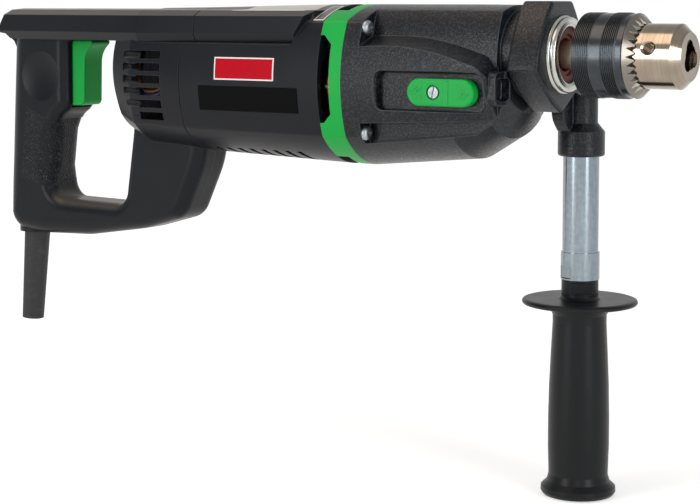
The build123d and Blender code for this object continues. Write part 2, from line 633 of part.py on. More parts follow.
def make_selector():
    """The green speed selector with its screw and the fork that moves the dog ring."""
    plane = Plane((knob_centre_x, knob_face_y, selector_z), x_dir=(1, 0, 0), z_dir=(0, -1, 0))
    knob = extrude(plane * SlotOverall(knob_length, knob_height), -(recess_floor_y - 2.1 - knob_face_y))
    knob = fillet(knob.faces().sort_by(Axis.Y)[0].edges(), 1.2)
    knob += rod_y(3.0, recess_floor_y - 2.2, recess_floor_y + 3, fork_x, selector_z)
    knob += block(knob_centre_x - 10.4, knob_centre_x + 1.8, knob_face_y - 0.3, knob_face_y + 1,
                  selector_z - 6,
                  selector_z + 6)
    knob -= block(knob_centre_x + 4.8, knob_centre_x + 6.2, knob_face_y - 1, knob_face_y + 0.4,
                  selector_z - 6.2,
                  selector_z + 6.2)
    knob -= rod_y(4.2, -60, knob_face_y + 1.6, fork_x, selector_z) + rod_y(1.3, -60, -20, fork_x, selector_z)
    # A pair of raised arrow heads at each end
    for end, way in ((-1, -1), (1, 1)):
        tip = knob_centre_x + end * 18.6
        for step in (0.0, 3.4):
            back = tip - way * step
            arrow = side_prism([(back, selector_z), (back - way * 3.6, selector_z + 3.2),
                                (back - way * 4.6, selector_z + 3.2), (back - way * 1.0, selector_z),
                                (back - way * 4.6, selector_z - 3.2), (back - way * 3.6, selector_z - 3.2)],
                               knob_face_y - 0.4, knob_face_y + 0.5)
            knob += arrow
    keep("selector_knob", knob)
    screw = rod_y(3.1, knob_face_y + 0.1, knob_face_y + 1.6, fork_x, selector_z)
    screw += rod_y(1.25, knob_face_y + 1.6, -28, fork_x, selector_z)
    slot = block(-0.5, 0.5, knob_face_y - 1, knob_face_y + 0.8, -4, 4)
    keep("selector_screw", screw - Pos(fork_x, 0, selector_z) * Rot(0, 12, 0) * slot)

    # The fork: a stem through the slot, and two prongs that reach round the dog ring's groove
    half = fork_width / 2
    stem = front_prism([(recess_floor_y + 3, selector_z - 3), (recess_floor_y + 3, selector_z + 3),
                        (-15, selector_z + 3), (-13, -9), (-4, -15.5), (-4, selector_z - 3)],
                       fork_x - half, fork_x + half)
    prongs = tube(17.5, 10.9, fork_x - half, fork_x + half) - block(-200, 0, 3, 60, -60, 60)
    fork = prongs + stem - rod(10.9, fork_x - 5, fork_x + 5) - rod_y(1.3, -60, -26, fork_x, selector_z)
    keep("shift_fork", fork)


def make_gears():
    """The gear train: armature pinion, countershaft and the spindle's two wheels with the dog ring."""
    to_counter = mesh_angle(0, motor_z, counter_y, counter_z)
    to_armature = to_counter + 180
    to_spindle = mesh_angle(counter_y, counter_z, 0, 0)
    from_spindle = to_spindle + 180
    middle_back_x = middle_front_x - gear_width
    low_front_x = low_wheel_back_x + gear_width
    high_back_x = high_wheel_front_x - gear_width

    shaft = rod(4, -175.5, -91, counter_y, counter_z)
    shaft += rod(5, middle_front_x, high_back_x, counter_y, counter_z)
    shaft += gear(low_pinion_teeth, low_wheel_back_x, low_front_x, counter_y, counter_z, to_spindle)
    middle = gear(middle_teeth, middle_back_x, middle_front_x, counter_y, counter_z,
                  to_armature + 180 / middle_teeth, 4.0)
    high_pinion = gear(high_pinion_teeth, high_back_x, high_wheel_front_x, counter_y, counter_z,
                       to_spindle, 4.0)
    keep("countershaft", shaft)
    keep("middle_gear", middle)
    keep("high_pinion", high_pinion)

    # Wheels on the spindle, with pockets for the dogs in the faces that look at the ring
    low = gear(low_wheel_teeth, low_wheel_back_x, low_front_x, 0, 0, from_spindle + 180 / low_wheel_teeth,
               8.5 + running_gap)
    high = gear(high_wheel_teeth, high_back_x, high_wheel_front_x, 0, 0,
                from_spindle + 180 / high_wheel_teeth,
                6.5 + running_gap)
    low -= dogs(low_wheel_back_x - 1, low_wheel_back_x + dog_length + 0.6, 0.25, 4)
    high -= dogs(high_wheel_front_x - dog_length - 0.6, high_wheel_front_x + 1, 0.25, 4)
    keep("low_wheel", low)
    keep("high_wheel", high)

    ring_front = fork_x + dog_ring_width / 2
    ring_back = fork_x - dog_ring_width / 2
    ring = rod(dog_ring_r, ring_back, ring_front)
    ring -= tube(dog_ring_r + 2, 10.5, fork_x - fork_width / 2 - 0.25, fork_x + fork_width / 2 + 0.25)
    ring += dogs(ring_front, ring_front + dog_length, 0, 0) + dogs(ring_back - dog_length, ring_back, 0, 0)
    ring -= splined(ring_back - 5, ring_front + 5, 0.15)
    keep("dog_ring", ring)

    spindle = rod(4, -175.5, -152) + rod(6.5, -152, -132.6) + splined(-132.6, low_wheel_back_x - 0.4, 0)
    spindle += rod(8.5, low_wheel_back_x - 0.4, low_front_x + 0.3) + rod(10.5, low_front_x + 0.3, -97.5)
    spindle += rod(9.3, -97.5, -72.1) + rod(spindle_r, -72.1, -50) + rod(chuck_thread_r, -50, -34)
    spindle -= rod(3.0, -46, -30)
    keep("spindle", spindle)


def dogs(x_from, x_to, radial_room, side_room):
    """Four driving dogs round the spindle, or, with room added, their pockets."""
    inner_r, outer_r, half_turn = 9.6 - radial_room, 11.4 + radial_room, 14 + side_room
    made = Part()
    for turn in range(4):
        edge = math.radians(half_turn)
        reach = 20
        wedge = front_prism([(0, 0), (reach * math.cos(edge), -reach * math.sin(edge)),
                             (reach * math.cos(edge), reach * math.sin(edge))], x_from, x_to)
        made += Rot(90 * turn, 0, 0) * (tube(outer_r, inner_r, x_from, x_to) & wedge)
    return made


def splined(x_from, x_to, room):
    """The spindle's splined stretch, or, with room added, the dog ring's bore."""
    made = rod(6.6 + room, x_from, x_to)
    for turn in range(6):
        key = block(x_from, x_to, -1.2 - room, 1.2 + room, 0, 8.0 + room)
        made += Rot(60 * turn, 0, 0) * key
    return made


def make_motor():
    """The motor: armature with pinion, commutator and fan, stator with coils, brushes, rear bearing."""
    to_counter = mesh_angle(0, motor_z, counter_y, counter_z)
    middle_back_x = middle_front_x - gear_width
    shaft = rod(4.5, -185, -168, 0, motor_z) + rod(5.5, -290.5, -185, 0, motor_z)
    shaft += rod(4, -299.5, -290.5, 0, motor_z)
    shaft += rod(2.4, -168, middle_front_x + 1, 0, motor_z)
    shaft += gear(armature_teeth, middle_back_x - 0.5, middle_front_x + 0.5, 0, motor_z, to_counter)
    keep("armature_shaft", shaft)

    core = tube(23.2, 5.5, core_back_x, core_front_x, 0, motor_z)
    for slot in range(12):
        groove = block(core_back_x - 1, core_front_x + 1, -1.3, 1.3, 15, 25)
        core -= Pos(0, 0, motor_z) * Rot(30 * slot, 0, 0) * groove
    keep("armature_core", core)
    wound = Part()
    for x_from, x_to in ((core_back_x - 9, core_back_x), (core_front_x, core_front_x + 8)):
        ring = tube(20.5, 5.5, x_from, x_to, 0, motor_z)
        wound += fillet(ring.edges().filter_by(GeomType.CIRCLE).sort_by(SortBy.RADIUS)[-2:], 3.5)
    keep("armature_winding", wound)
    commutator = tube(12.5, 5.5, commutator_back_x, commutator_front_x, 0, motor_z)
    for slot in range(24):
        groove = block(commutator_back_x - 1, commutator_front_x + 1, -0.25, 0.25, 11.2, 13)
        commutator -= Pos(0, 0, motor_z) * Rot(15 * slot, 0, 0) * groove
    keep("commutator", commutator)
    # The fan: a hub with a dished plate, and vanes behind it in line with the outlets
    dish = [(-184.5, 4.5), (-177.6, 4.5), (-177.6, 9), (-183, 9), (fan_rim_x + 2, fan_r), (fan_rim_x, fan_r),
            (fan_nose_x, 9), (fan_nose_x, 6.5), (-184.5, 6.5)]
    fan = Pos(0, 0, motor_z) * revolve(Plane.XZ * make_face(Polyline(*dish, close=True)), Axis.X)
    for blade in range(fan_blades):
        vane = block(-191, fan_rim_x + 0.4, -0.9, 0.9, 14, fan_r)
        fan += Pos(0, 0, motor_z) * Rot(360 / fan_blades * blade, 0, 0) * Pos(0, 6, 0) * vane
    fan = fan & rod(fan_r, fan_nose_x - 1, -170, 0, motor_z)
    keep("cooling_fan", fan)

    stator = tube(housing_bore_r - 0.1, 24.2, core_back_x, core_front_x, 0, motor_z)
    pocket = block(core_back_x - 1, core_front_x + 1, -13, 13, 24, 32)
    for turn in (90, 270):
        mouth = block(core_back_x - 1, core_front_x + 1, -9, 9, 20, 26)
        stator -= Pos(0, 0, motor_z) * Rot(turn, 0, 0) * (pocket + mouth)
    keep("stator_core", stator)
    coils = Part()
    for turn in (90, 270):
        coil = block(core_back_x - 7, core_front_x + 6, -12.6, 12.6, 25.4, 31.6)
        coils += Pos(0, 0, motor_z) * Rot(turn, 0, 0) * coil
    keep("field_coils", coils)
    holders = Part()
    brushes = Part()
    brush_x = (commutator_back_x + commutator_front_x) / 2
    for side in (-1, 1):
        low, high = sorted((side * 14.5, side * 34))
        holder = block(brush_x - 5.4, brush_x + 5.4, low, high, motor_z - 4.5, motor_z + 4.5)
        holder &= rod(brush_bore_r - 0.1, -300, -260, 0, motor_z)
        holders += holder - block(brush_x - 4.1, brush_x + 4.1, low - 1, high + 1, motor_z - 3.1,
                                  motor_z + 3.1)
        low, high = sorted((side * 12.6, side * 25))
        brushes += block(brush_x - 4, brush_x + 4, low, high, motor_z - 3, motor_z + 3)
    keep("brush_holders", holders)
    keep("carbon_brushes", brushes)
    keep("armature_rear_bearing", ball_bearing(11, 4 + running_gap, -299.8, -291.2, 0, motor_z))


def make_leads():
    """The two leads from the brushes, past the air inlet on the right, to the switch."""
    ways = {
        "lead_brown": [(-277, -26, -14.7), (-280, -24, -10), (-286, -18, -4.5), (-294, -17, -3.5),
                       (-303, -24, -11),
                       (-313, -32, -23.5), (-325, -32.5, -25), (-334, -28, -14), (-341, -20, 4),
                       (-347, -14, 12),
                       (-358, -11.5, 13.5), (-380, -10, 13.5), (-400, -9.8, 11.8), (-409, -10, 9.6),
                       (-415, -10, 7.6),
                       (-428, -10, 6), (-436, -9, 5), (-438, -8.5, 2.9)],
        "lead_blue": [(-277, 26, -14.7), (-280, 24, -10), (-286, 18, -4.5), (-294, 16.5, -3), (-303, 2, 2),
                      (-309, -22, -16), (-315, -31.5, -26.8), (-325, -32, -28), (-335, -24, -18),
                      (-341, -14, 0),
                      (-347, -7, 11), (-358, -3, 13.5), (-372, 3, 14), (-390, 9, 13.5), (-402, 9.8, 11.5),
                      (-409, 10, 9.6), (-415, 10, 7.6), (-428, 10, 6), (-436, 9, 5), (-438, 8.5, 2.9)],
    }
    for name, points in ways.items():
        path = Spline(*points)
        keep(name, sweep(Plane(path @ 0, z_dir=path % 0) * Circle(lead_r), path=path))


def jaw_place(number):
    """Turns a jaw drawn in the plane y = 0, above the spindle axis, to its own place."""
    return Rot(jaw_turn - 90 + 120 * number, 0, 0)


def jaw_line(radius, length_back, length_front):
    """A cylinder along a jaw's inclined axis, measured from the jaw's front end."""
    middle = (length_front - length_back) / 2
    bar = Pos(middle, 0, 0) * Rot(0, 90, 0) * Cylinder(radius, length_back + length_front)
    return Pos(jaw_front_x, 0, jaw_front_axis_r) * Rot(0, jaw_angle, 0) * bar


def make_chuck():
    """The keyed chuck: body, geared sleeve with its nut, three jaws and the retaining screw."""
    profile = [(-46.5, 0), (-46.5, 11.5), (-44.6, 11.5), (-44.6, 16.8), (-25, 16.8), (-25, 13.2),
               (-14.4, 13.2),
               (-14.4, 16.8), (-9.6, 16.8), (-9.6, chuck_r), (8.8, chuck_r), (nose_x, 12.9), (nose_x, 0)]
    body = revolve(Plane.XZ * make_face(Polyline(*profile, close=True)), Axis.X)
    body -= rod(nose_bore_r, -27, 20) + rod(chuck_thread_r + 0.1, -50, -33) + rod(3.2, -40, -20)
    for number in range(3):
        body -= jaw_place(number) * jaw_line(jaw_r + 0.25, 52.2, 15)
        hole = post(key_hole_r, 11.3, 30, key_hole_x, 0)
        hole += Pos(key_hole_x, 0, chuck_r - 0.35) * Cone(key_hole_r, key_hole_r + 1.4, 1.4)
        body -= Rot(jaw_turn - 30 + 120 * number, 0, 0) * hole
    keep("chuck_body", body)

    screw = rod(5.2, -26.8, -23.5) + rod(2.9, -44, -26.8)
    screw -= block(-24.6, -20, -1, 1, -8, 8)
    keep("chuck_screw", screw)

    outline = [(-46, 17.1), (-46, 19.2), (sleeve_back_x, sleeve_r), (-34.6, sleeve_r),
               (-34.4, sleeve_r - 0.2),
               (-27.8, sleeve_r - 0.2), (-27.6, sleeve_r), (-20.0, sleeve_r), (-19.4, sleeve_r - 0.7),
               (-16.2, sleeve_r - 0.7), (sleeve_front_x, sleeve_r - 0.2), (-10.4, 17.6), (-10.4, 17.1),
               (-14.6, 17.1), (-14.6, nut_r + 0.02), (-38, nut_r + 0.02), (-38, 17.1)]
    sleeve = revolve(Plane.XZ * make_face(Polyline(*outline, close=True)), Axis.X)
    # The key's teeth are deep at the inner edge of the front cone and run out part way up it
    tooth_plane = Plane((-10.95, 0, 14.4), x_dir=(0, 1, 0), z_dir=(-0.4, 0, 0.916))
    notch = extrude(tooth_plane * make_face(Polyline((-3.8, -4), (3.8, -4), (0, 0), close=True)), 8)
    notches = [Rot(360 / sleeve_teeth * tooth, 0, 0) * notch for tooth in range(sleeve_teeth)]
    keep("chuck_sleeve", sleeve - notches)
    nut_outline = [(nut_back_x, 17.4), (nut_back_x, nut_r), (nut_front_x, nut_r), (nut_front_x, 15.4)]
    keep("chuck_nut", revolve(Plane.XZ * make_face(Polyline(*nut_outline, close=True)), Axis.X))

    # A jaw: a round bar on an inclined axis, pointed to a third of a turn, with a hollow land that grips
    apex = grip_r - smallest_grip_r + 0.15
    reach = 24
    side = reach * math.tan(math.radians(60))
    wedge = front_prism([(0, apex), (side, apex + reach), (-side, apex + reach)], -60, 30)
    for number in range(3):
        jaw = jaw_line(jaw_r, (jaw_front_x - jaw_back_x) / math.cos(math.radians(jaw_angle)), 0.8)
        jaw = jaw & wedge
        jaw -= rod(grip_r, -60, 40) + block(jaw_front_x, 40, -20, 20, -30, 30)
        for tooth in range(5):
            x = -13 - 2.2 * tooth
            cut = jaw_front_axis_r + (jaw_front_x - x) * math.tan(math.radians(jaw_angle)) + jaw_r
            jaw -= block(x - 0.6, x + 0.6, -6, 6, cut - 0.5, cut + 6)
        keep(f"jaw_{number + 1}", jaw_place(number) * jaw)


def make_side_handle():
    """The side handle: split clamp ring with a tangential screw, plated tube, ferrule and grip."""
    corner, low = clamp_corner, (0, clamp_low_z)
    top = Line((-clamp_top_half, clamp_top_z), (clamp_top_half, clamp_top_z))
    flank = ThreePointArc((clamp_top_half, clamp_top_z), (25, 9.5), corner)
    under = ThreePointArc(corner, (17.5, -20.7), low)
    outline = make_face([top, flank, under, mirror(flank, about=Plane.YZ), mirror(under, about=Plane.YZ)])
    outline = fillet(outline.vertices(), 2.2)
    ring = extrude(Plane.YZ.offset(clamp_back_x) * outline, clamp_face_x - clamp_back_x)
    ring = fillet(ring.faces().filter_by(Axis.X).edges(), clamp_round)
    # The lugs on either side of the slit, and the web down to the socket of the tube
    lower_lug = front_prism([(14, -20), (24, -23), (side_y, -23), (side_y, -1.4), (20, -1.4)],
                            side_x - lug_half, side_x + lug_half)
    upper_lug = front_prism([(20, 1.4), (side_y, 1.4), (side_y, 13), (24, 13)], side_x - lug_half,
                            side_x + lug_half)
    web = front_prism([(14, -19), (20.8, -31), (21.3, -34.5), (22.6, -37.5), (25.2, -40.5), (28.3, -43.4),
                       (side_y, -43.4), (side_y, -19)], side_x - lug_half, side_x - 1)
    ring += lower_lug + upper_lug + web
    ring += post(clamp_post_r, -42, -1.4, side_x, side_y) + post(clamp_post_r, 1.4, 13, side_x, side_y)
    cone = Pos(side_x, side_y, -41.8) * Cone(13.3, clamp_post_r, 5)
    socket = post(13.3, -58.2, -44.2, side_x, side_y)
    socket = fillet(socket.edges().sort_by(Axis.Z)[0], 1.5)
    ring += cone + socket
    ring -= rod(collar_r + running_gap, -100, -40)
    ring -= block(clamp_back_x - 1, clamp_face_x + 1, 15, 60, -1.4, 1.4)
    ring -= post(stud_r + 0.3, -70, 0, side_x, side_y) + post(stud_r + 0.1, 0, 30, side_x, side_y)
    ring -= post(10.8, -70, -50, side_x, side_y)
    keep("clamp_ring", ring)

    washer = post(10.2, -52.2, -50.2, side_x, side_y) - post(stud_r + 0.2, -60, -40, side_x, side_y)
    keep("thrust_washer", washer)
    keep("handle_stud", post(stud_r, -112, 12.5, side_x, side_y))
    tube_body = post(10.25, -114, -52.4, side_x, side_y) - post(stud_r + 0.02, -120, -40, side_x, side_y)
    keep("extension_tube", tube_body)
    ferrule = post(11.05, -128.2, -112.7, side_x, side_y) - post(10.27, -114.02, -100, side_x, side_y)
    ferrule -= post(7.02, -130, -113.9, side_x, side_y)
    flat = block(-8, 8, -14, -9.6, -127.4, -120.2)
    ferrule -= Pos(side_x, side_y, 0) * Rot(0, 0, -27.8) * flat
    keep("handle_ferrule", ferrule)

    neck_z = flange_z + 0.5
    grip_profile = [(0, -128.3), (10.5, -128.3), (10.5, neck_z + 1.5), (12.0, neck_z), (30.9, neck_z),
                    (32.2, neck_z - 0.4), (32.8, neck_z - 1.3), (32.8, neck_z - 2.1), (32.1, neck_z - 3.0),
                    (30.8, neck_z - 3.4), (18.0, neck_z - 4.4), (15.4, neck_z - 9),
                    (15.3, -153), (16.2, -171), (17.0, -189), (17.4, -207), (17.4, -224.5), (16.9, -240.5),
                    (18.0, -244.5), (21.2, -247.5), (21.4, -250.2), (20.2, grip_bottom_z), (0, grip_bottom_z)]
    grip = Plane.XZ * make_face(Polyline(*grip_profile, close=True))
    grip = Pos(side_x, side_y, 0) * revolve(grip, Axis.Z)
    pocket = block(-6, 6, -14, -8.6, -136.2, -129.6)
    grip -= Pos(side_x, side_y, 0) * Rot(0, 0, 33) * pocket
    grip += post(7.0, -128.3, -114, side_x, side_y)
    keep("side_grip", grip)


for name, maker in (("gearbox_housing", make_gearbox), ("air_outlet_ring", make_air_ring),
                    ("motor_housing", make_motor_housing)):
    keep(name, maker())
for maker in (make_handle_shells, make_trigger, make_cord_entry, make_plates, make_gearbox_fittings,
              make_selector,
              make_gears, make_motor, make_leads, make_chuck, make_side_handle):
    maker()

os.makedirs("parts", exist_ok=True)
for name, shape in parts_made.items():
    export_step(shape, f"parts/{name}.step")
    print(name, round(shape.volume / 1000, 1), "cm3", len(shape.solids()), "solids")
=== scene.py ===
import math
import bpy
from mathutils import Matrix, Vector


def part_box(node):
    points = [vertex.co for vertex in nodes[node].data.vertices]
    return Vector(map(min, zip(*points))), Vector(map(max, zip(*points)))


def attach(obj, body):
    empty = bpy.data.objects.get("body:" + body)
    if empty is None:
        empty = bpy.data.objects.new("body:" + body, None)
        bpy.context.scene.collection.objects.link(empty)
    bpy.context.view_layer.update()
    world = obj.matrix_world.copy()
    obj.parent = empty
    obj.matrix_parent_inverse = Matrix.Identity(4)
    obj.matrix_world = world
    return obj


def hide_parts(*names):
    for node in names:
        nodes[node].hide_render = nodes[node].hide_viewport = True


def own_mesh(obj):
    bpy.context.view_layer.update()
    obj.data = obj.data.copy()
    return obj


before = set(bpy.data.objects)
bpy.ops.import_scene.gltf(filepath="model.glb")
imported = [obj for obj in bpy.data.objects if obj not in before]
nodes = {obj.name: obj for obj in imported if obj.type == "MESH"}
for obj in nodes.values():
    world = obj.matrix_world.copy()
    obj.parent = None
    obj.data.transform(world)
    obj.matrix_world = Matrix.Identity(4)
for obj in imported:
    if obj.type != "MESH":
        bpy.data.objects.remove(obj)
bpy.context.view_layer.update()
mm = 0.001
print("frame loaded:", len(nodes), "nodes")


def hexColour(code):  # sRGB hex to the linear colour that a socket takes
    parts = [int(code[i:i + 2], 16) / 255 for i in (1, 3, 5)]
    linear = [p / 12.92 if p <= 0.04045 else ((p + 0.055) / 1.055) ** 2.4 for p in parts]
    return (*linear, 1.0)


def addNode(tree, kind, links=None, values=None, **settings):
    node = tree.nodes.new("ShaderNode" + kind)
    for name, value in settings.items():
        setattr(node, name, value)
    for socket, value in (values or {}).items():
        node.inputs[socket].default_value = value
    for socket, source in (links or {}).items():
        tree.links.new(source, node.inputs[socket])
    return node


def startMaterial(name):
    material = bpy.data.materials.new(name)
    material.use_nodes = True
    tree = material.node_tree
    place = addNode(tree, "TexCoord").outputs["Object"]
    return material, tree, tree.nodes["Principled BSDF"], place


def dress(tree, shader, tone, sheen, bump=None):  # gives the shader a finish's colour, roughness and relief
    tree.links.new(tone.outputs["Color"], shader.inputs["Base Color"])
    tree.links.new(sheen.outputs["Result"], shader.inputs["Roughness"])
    if bump:
        tree.links.new(bump.outputs["Normal"], shader.inputs["Normal"])


# Rays for the rounded normal of an edge, and its cosine to the face where the edge's wear and painted
# highlight are full
edgeRounding = {"samples": 4, "full": 0.75}


# The edge mask paints edges paler, as edge wear and as a painted highlight on the rounding
def edgeWearAndHighlight(tree, radius):  # 0 on flat faces, towards 1 along edges, with the rounded normal that edges get
    soft = addNode(tree, "Bevel", values={"Radius": radius}, samples=edgeRounding["samples"]).outputs["Normal"]
    flat = addNode(tree, "NewGeometry").outputs["Normal"]
    dot = addNode(tree, "VectorMath", {0: soft, 1: flat}, operation="DOT_PRODUCT").outputs["Value"]
    edge = addNode(tree, "MapRange", {"Value": dot}, {"From Min": 1.0, "From Max": edgeRounding["full"]})
    return soft, edge.outputs["Result"]


def edgeLine(tree, place, spans, width):  # 1 on a line just inside the edge of a rectangle, 0 elsewhere
    axes = addNode(tree, "SeparateXYZ", {"Vector": place})
    sides = {}
    for number, (axis, (lowest, highest)) in enumerate(spans.items()):
        middle, half = (lowest + highest) / 2, (highest - lowest) / 2
        offset = addNode(tree, "Math", {0: axes.outputs[axis]}, {1: middle}, operation="SUBTRACT")
        away = addNode(tree, "Math", {0: offset.outputs[0]}, operation="ABSOLUTE")
        near = addNode(tree, "Math", {0: away.outputs[0]}, {1: half - width}, operation="GREATER_THAN")
        sides[number] = near.outputs[0]
    return addNode(tree, "Math", sides, operation="MAXIMUM").outputs[0]


def paint(material, *names):
    for name in names:
        slots = nodes[name].data.materials
        slots.clear()
        slots.append(material)


# Camera, light and floor

shot = {"place": (0.37873, -0.87989, 0.02753), "turn": 0.57998, "tilt": math.radians(-4.542), "lens": 92.757,
        "sensor": 36, "shiftY": -0.15, "farthest": 200}
camera = bpy.data.objects.new("camera", bpy.data.cameras.new("camera"))
bpy.context.scene.collection.objects.link(camera)
camera.location = shot["place"]
camera.rotation_euler = (math.pi / 2 + shot["tilt"], 0, shot["turn"])
camera.data.lens = shot["lens"]
camera.data.sensor_width = shot["sensor"]
camera.data.shift_y = shot["shiftY"]
camera.data.clip_end = shot["farthest"]
bpy.context.scene.camera = camera
bpy.context.scene.view_settings.view_transform = "Standard"

# A mirrored direction shows the room up to roomFrom along Y and the white backdrop past backdropFrom.
# Along Z it shows these walls up to wallsTo and the ceiling past ceilingFrom
studio = {"worldLevel": 0.4, "room": 0.3, "roomFrom": -0.6, "backdropFrom": 0.2,
          "ceiling": 0.6, "wallsTo": 0.12, "ceilingFrom": 0.55,
          # place, aim, size in metres, watts, colour
          "lamps": {"frontLeft": ((-0.95, -1.97, 0.36), (-0.1, 0, 0.2), (0.55, 1.16), 13.0, "#ffffff"),
                    "front": ((0.75, -1.75, 0.45), (-0.2, 0, 0), (0.4, 0.9), 4.0, "#ffffff"),
                    "right": ((1.6, -0.75, 0.3), (-0.1, 0, 0.1), (0.5, 1.0), 11.0, "#fdfeff"),
                    "above": ((-0.85, -0.68, 1.66), (-0.15, 0, 0), (1.5, 1.0), 12.0, "#ffe2c8")}}
world = bpy.data.worlds.new("studio")
world.use_nodes = True
bpy.context.scene.world = world
sky = world.node_tree
background = sky.nodes["Background"]
background.inputs["Color"].default_value = (1, 1, 1, 1)
# Seen directly, in metal or through glass the backdrop is white; metal also shows the dimmer room on the
# camera's side and the grey ceiling, and the light that the surroundings give is softer
ray = addNode(sky, "LightPath")
axes = addNode(sky, "SeparateXYZ", {"Vector": addNode(sky, "TexCoord").outputs["Object"]})
walls = addNode(sky, "MapRange", {"Value": axes.outputs["Y"]},
                {"From Min": studio["roomFrom"], "From Max": studio["backdropFrom"],
                 "To Min": studio["room"], "To Max": 1.0})
above = addNode(sky, "MapRange", {"Value": axes.outputs["Z"], "To Min": walls.outputs["Result"]},
                {"From Min": studio["wallsTo"], "From Max": studio["ceilingFrom"],
                 "To Max": studio["ceiling"]})
mirrored = addNode(sky, "MapRange",
                   {"Value": ray.outputs["Is Glossy Ray"], "To Max": above.outputs["Result"]},
                   {"To Min": studio["worldLevel"]})
seen = addNode(sky, "Math", {0: ray.outputs["Is Camera Ray"], 1: ray.outputs["Is Transmission Ray"]},
               operation="MAXIMUM")
level = addNode(sky, "MapRange", {"Value": seen.outputs[0], "To Min": mirrored.outputs["Result"]},
                {"To Max": 1.0})
sky.links.new(level.outputs["Result"], background.inputs["Strength"])

for name, (place, aim, size, watts, colour) in studio["lamps"].items():
    lamp = bpy.data.lights.new(name, "AREA")
    lamp.shape = "RECTANGLE"
    lamp.size, lamp.size_y = size
    lamp.energy = watts
    lamp.color = hexColour(colour)[:3]
    holder = bpy.data.objects.new(name, lamp)
    bpy.context.scene.collection.objects.link(holder)
    holder.location = place
    holder.rotation_euler = (Vector(aim) - Vector(place)).to_track_quat("-Z", "Y").to_euler()

# Matt studio paper, barely uneven; it shows white to the camera and in metal, and keeps the tool's shadow.
# Far from the lamps it lifts a little more, up to the white of the walls
paper = {"z": -0.2528, "size": 60, "patch": 1 / 3, "dark": 0.9, "pale": 0.93, "roughness": 0.9, "gloss": 0.1,
         "lift": 0.52, "farLift": 0.66, "near": 0.7, "far": 3.0}
bpy.ops.object.select_all(action="DESELECT")
bpy.ops.mesh.primitive_plane_add(size=paper["size"], location=(0, 0, paper["z"]))
floor = bpy.context.object
floor.name = "floor"
material, tree, shader, place = startMaterial("matt white studio paper")
shade = addNode(tree, "TexNoise", {"Vector": place}, {"Scale": 1 / paper["patch"], "Detail": 2.0})
tone = addNode(tree, "MapRange", {"Value": shade.outputs["Fac"]},
               {"To Min": paper["dark"], "To Max": paper["pale"]})
ray = addNode(tree, "LightPath")
seen = addNode(tree, "Math", {0: ray.outputs["Is Camera Ray"], 1: ray.outputs["Is Glossy Ray"]},
               operation="MAXIMUM")
seen = addNode(tree, "Math", {0: seen.outputs[0], 1: ray.outputs["Is Transmission Ray"]},
               operation="MAXIMUM")
reach = addNode(tree, "VectorMath", {0: place}, operation="LENGTH")
far = addNode(tree, "MapRange", {"Value": reach.outputs["Value"]},
              {"From Min": paper["near"], "From Max": paper["far"],
               "To Min": paper["lift"], "To Max": paper["farLift"]})
lift = addNode(tree, "Math", {0: seen.outputs[0], 1: far.outputs["Result"]}, operation="MULTIPLY")
tree.links.new(tone.outputs["Result"], shader.inputs["Base Color"])
tree.links.new(lift.outputs[0], shader.inputs["Emission Strength"])
shader.inputs["Emission Color"].default_value = (1, 1, 1, 1)
shader.inputs["Roughness"].default_value = paper["roughness"]
shader.inputs["Specular IOR Level"].default_value = paper["gloss"]
floor.data.materials.append(material)
print("studio set")


# Finishes. Grains that are finer than a pixel of the render are drawn at about 1 mm so that they show

# Moulded black nylon: deep grey-black with a satin sheen from a spark-eroded mould. Its edges are painted
# paler as edge wear and painted highlight, and its upward faces paler as dust and painted light from above
nylon = {"colour": "#0a0d13", "pale": "#12161d", "edge": "#30343a", "edgeRadius": 0.8 * mm,
         "smooth": 0.29, "dull": 0.4, "gloss": 0.19, "cloud": 30 * mm,
         "grain": 1.0 * mm, "grainDepth": 0.1 * mm, "grainStrength": 0.35,
         "dustAndTopLight": "#5e5a54", "dustAndTopLightFrom": 0.35, "dustAndTopLightCover": 0.7}


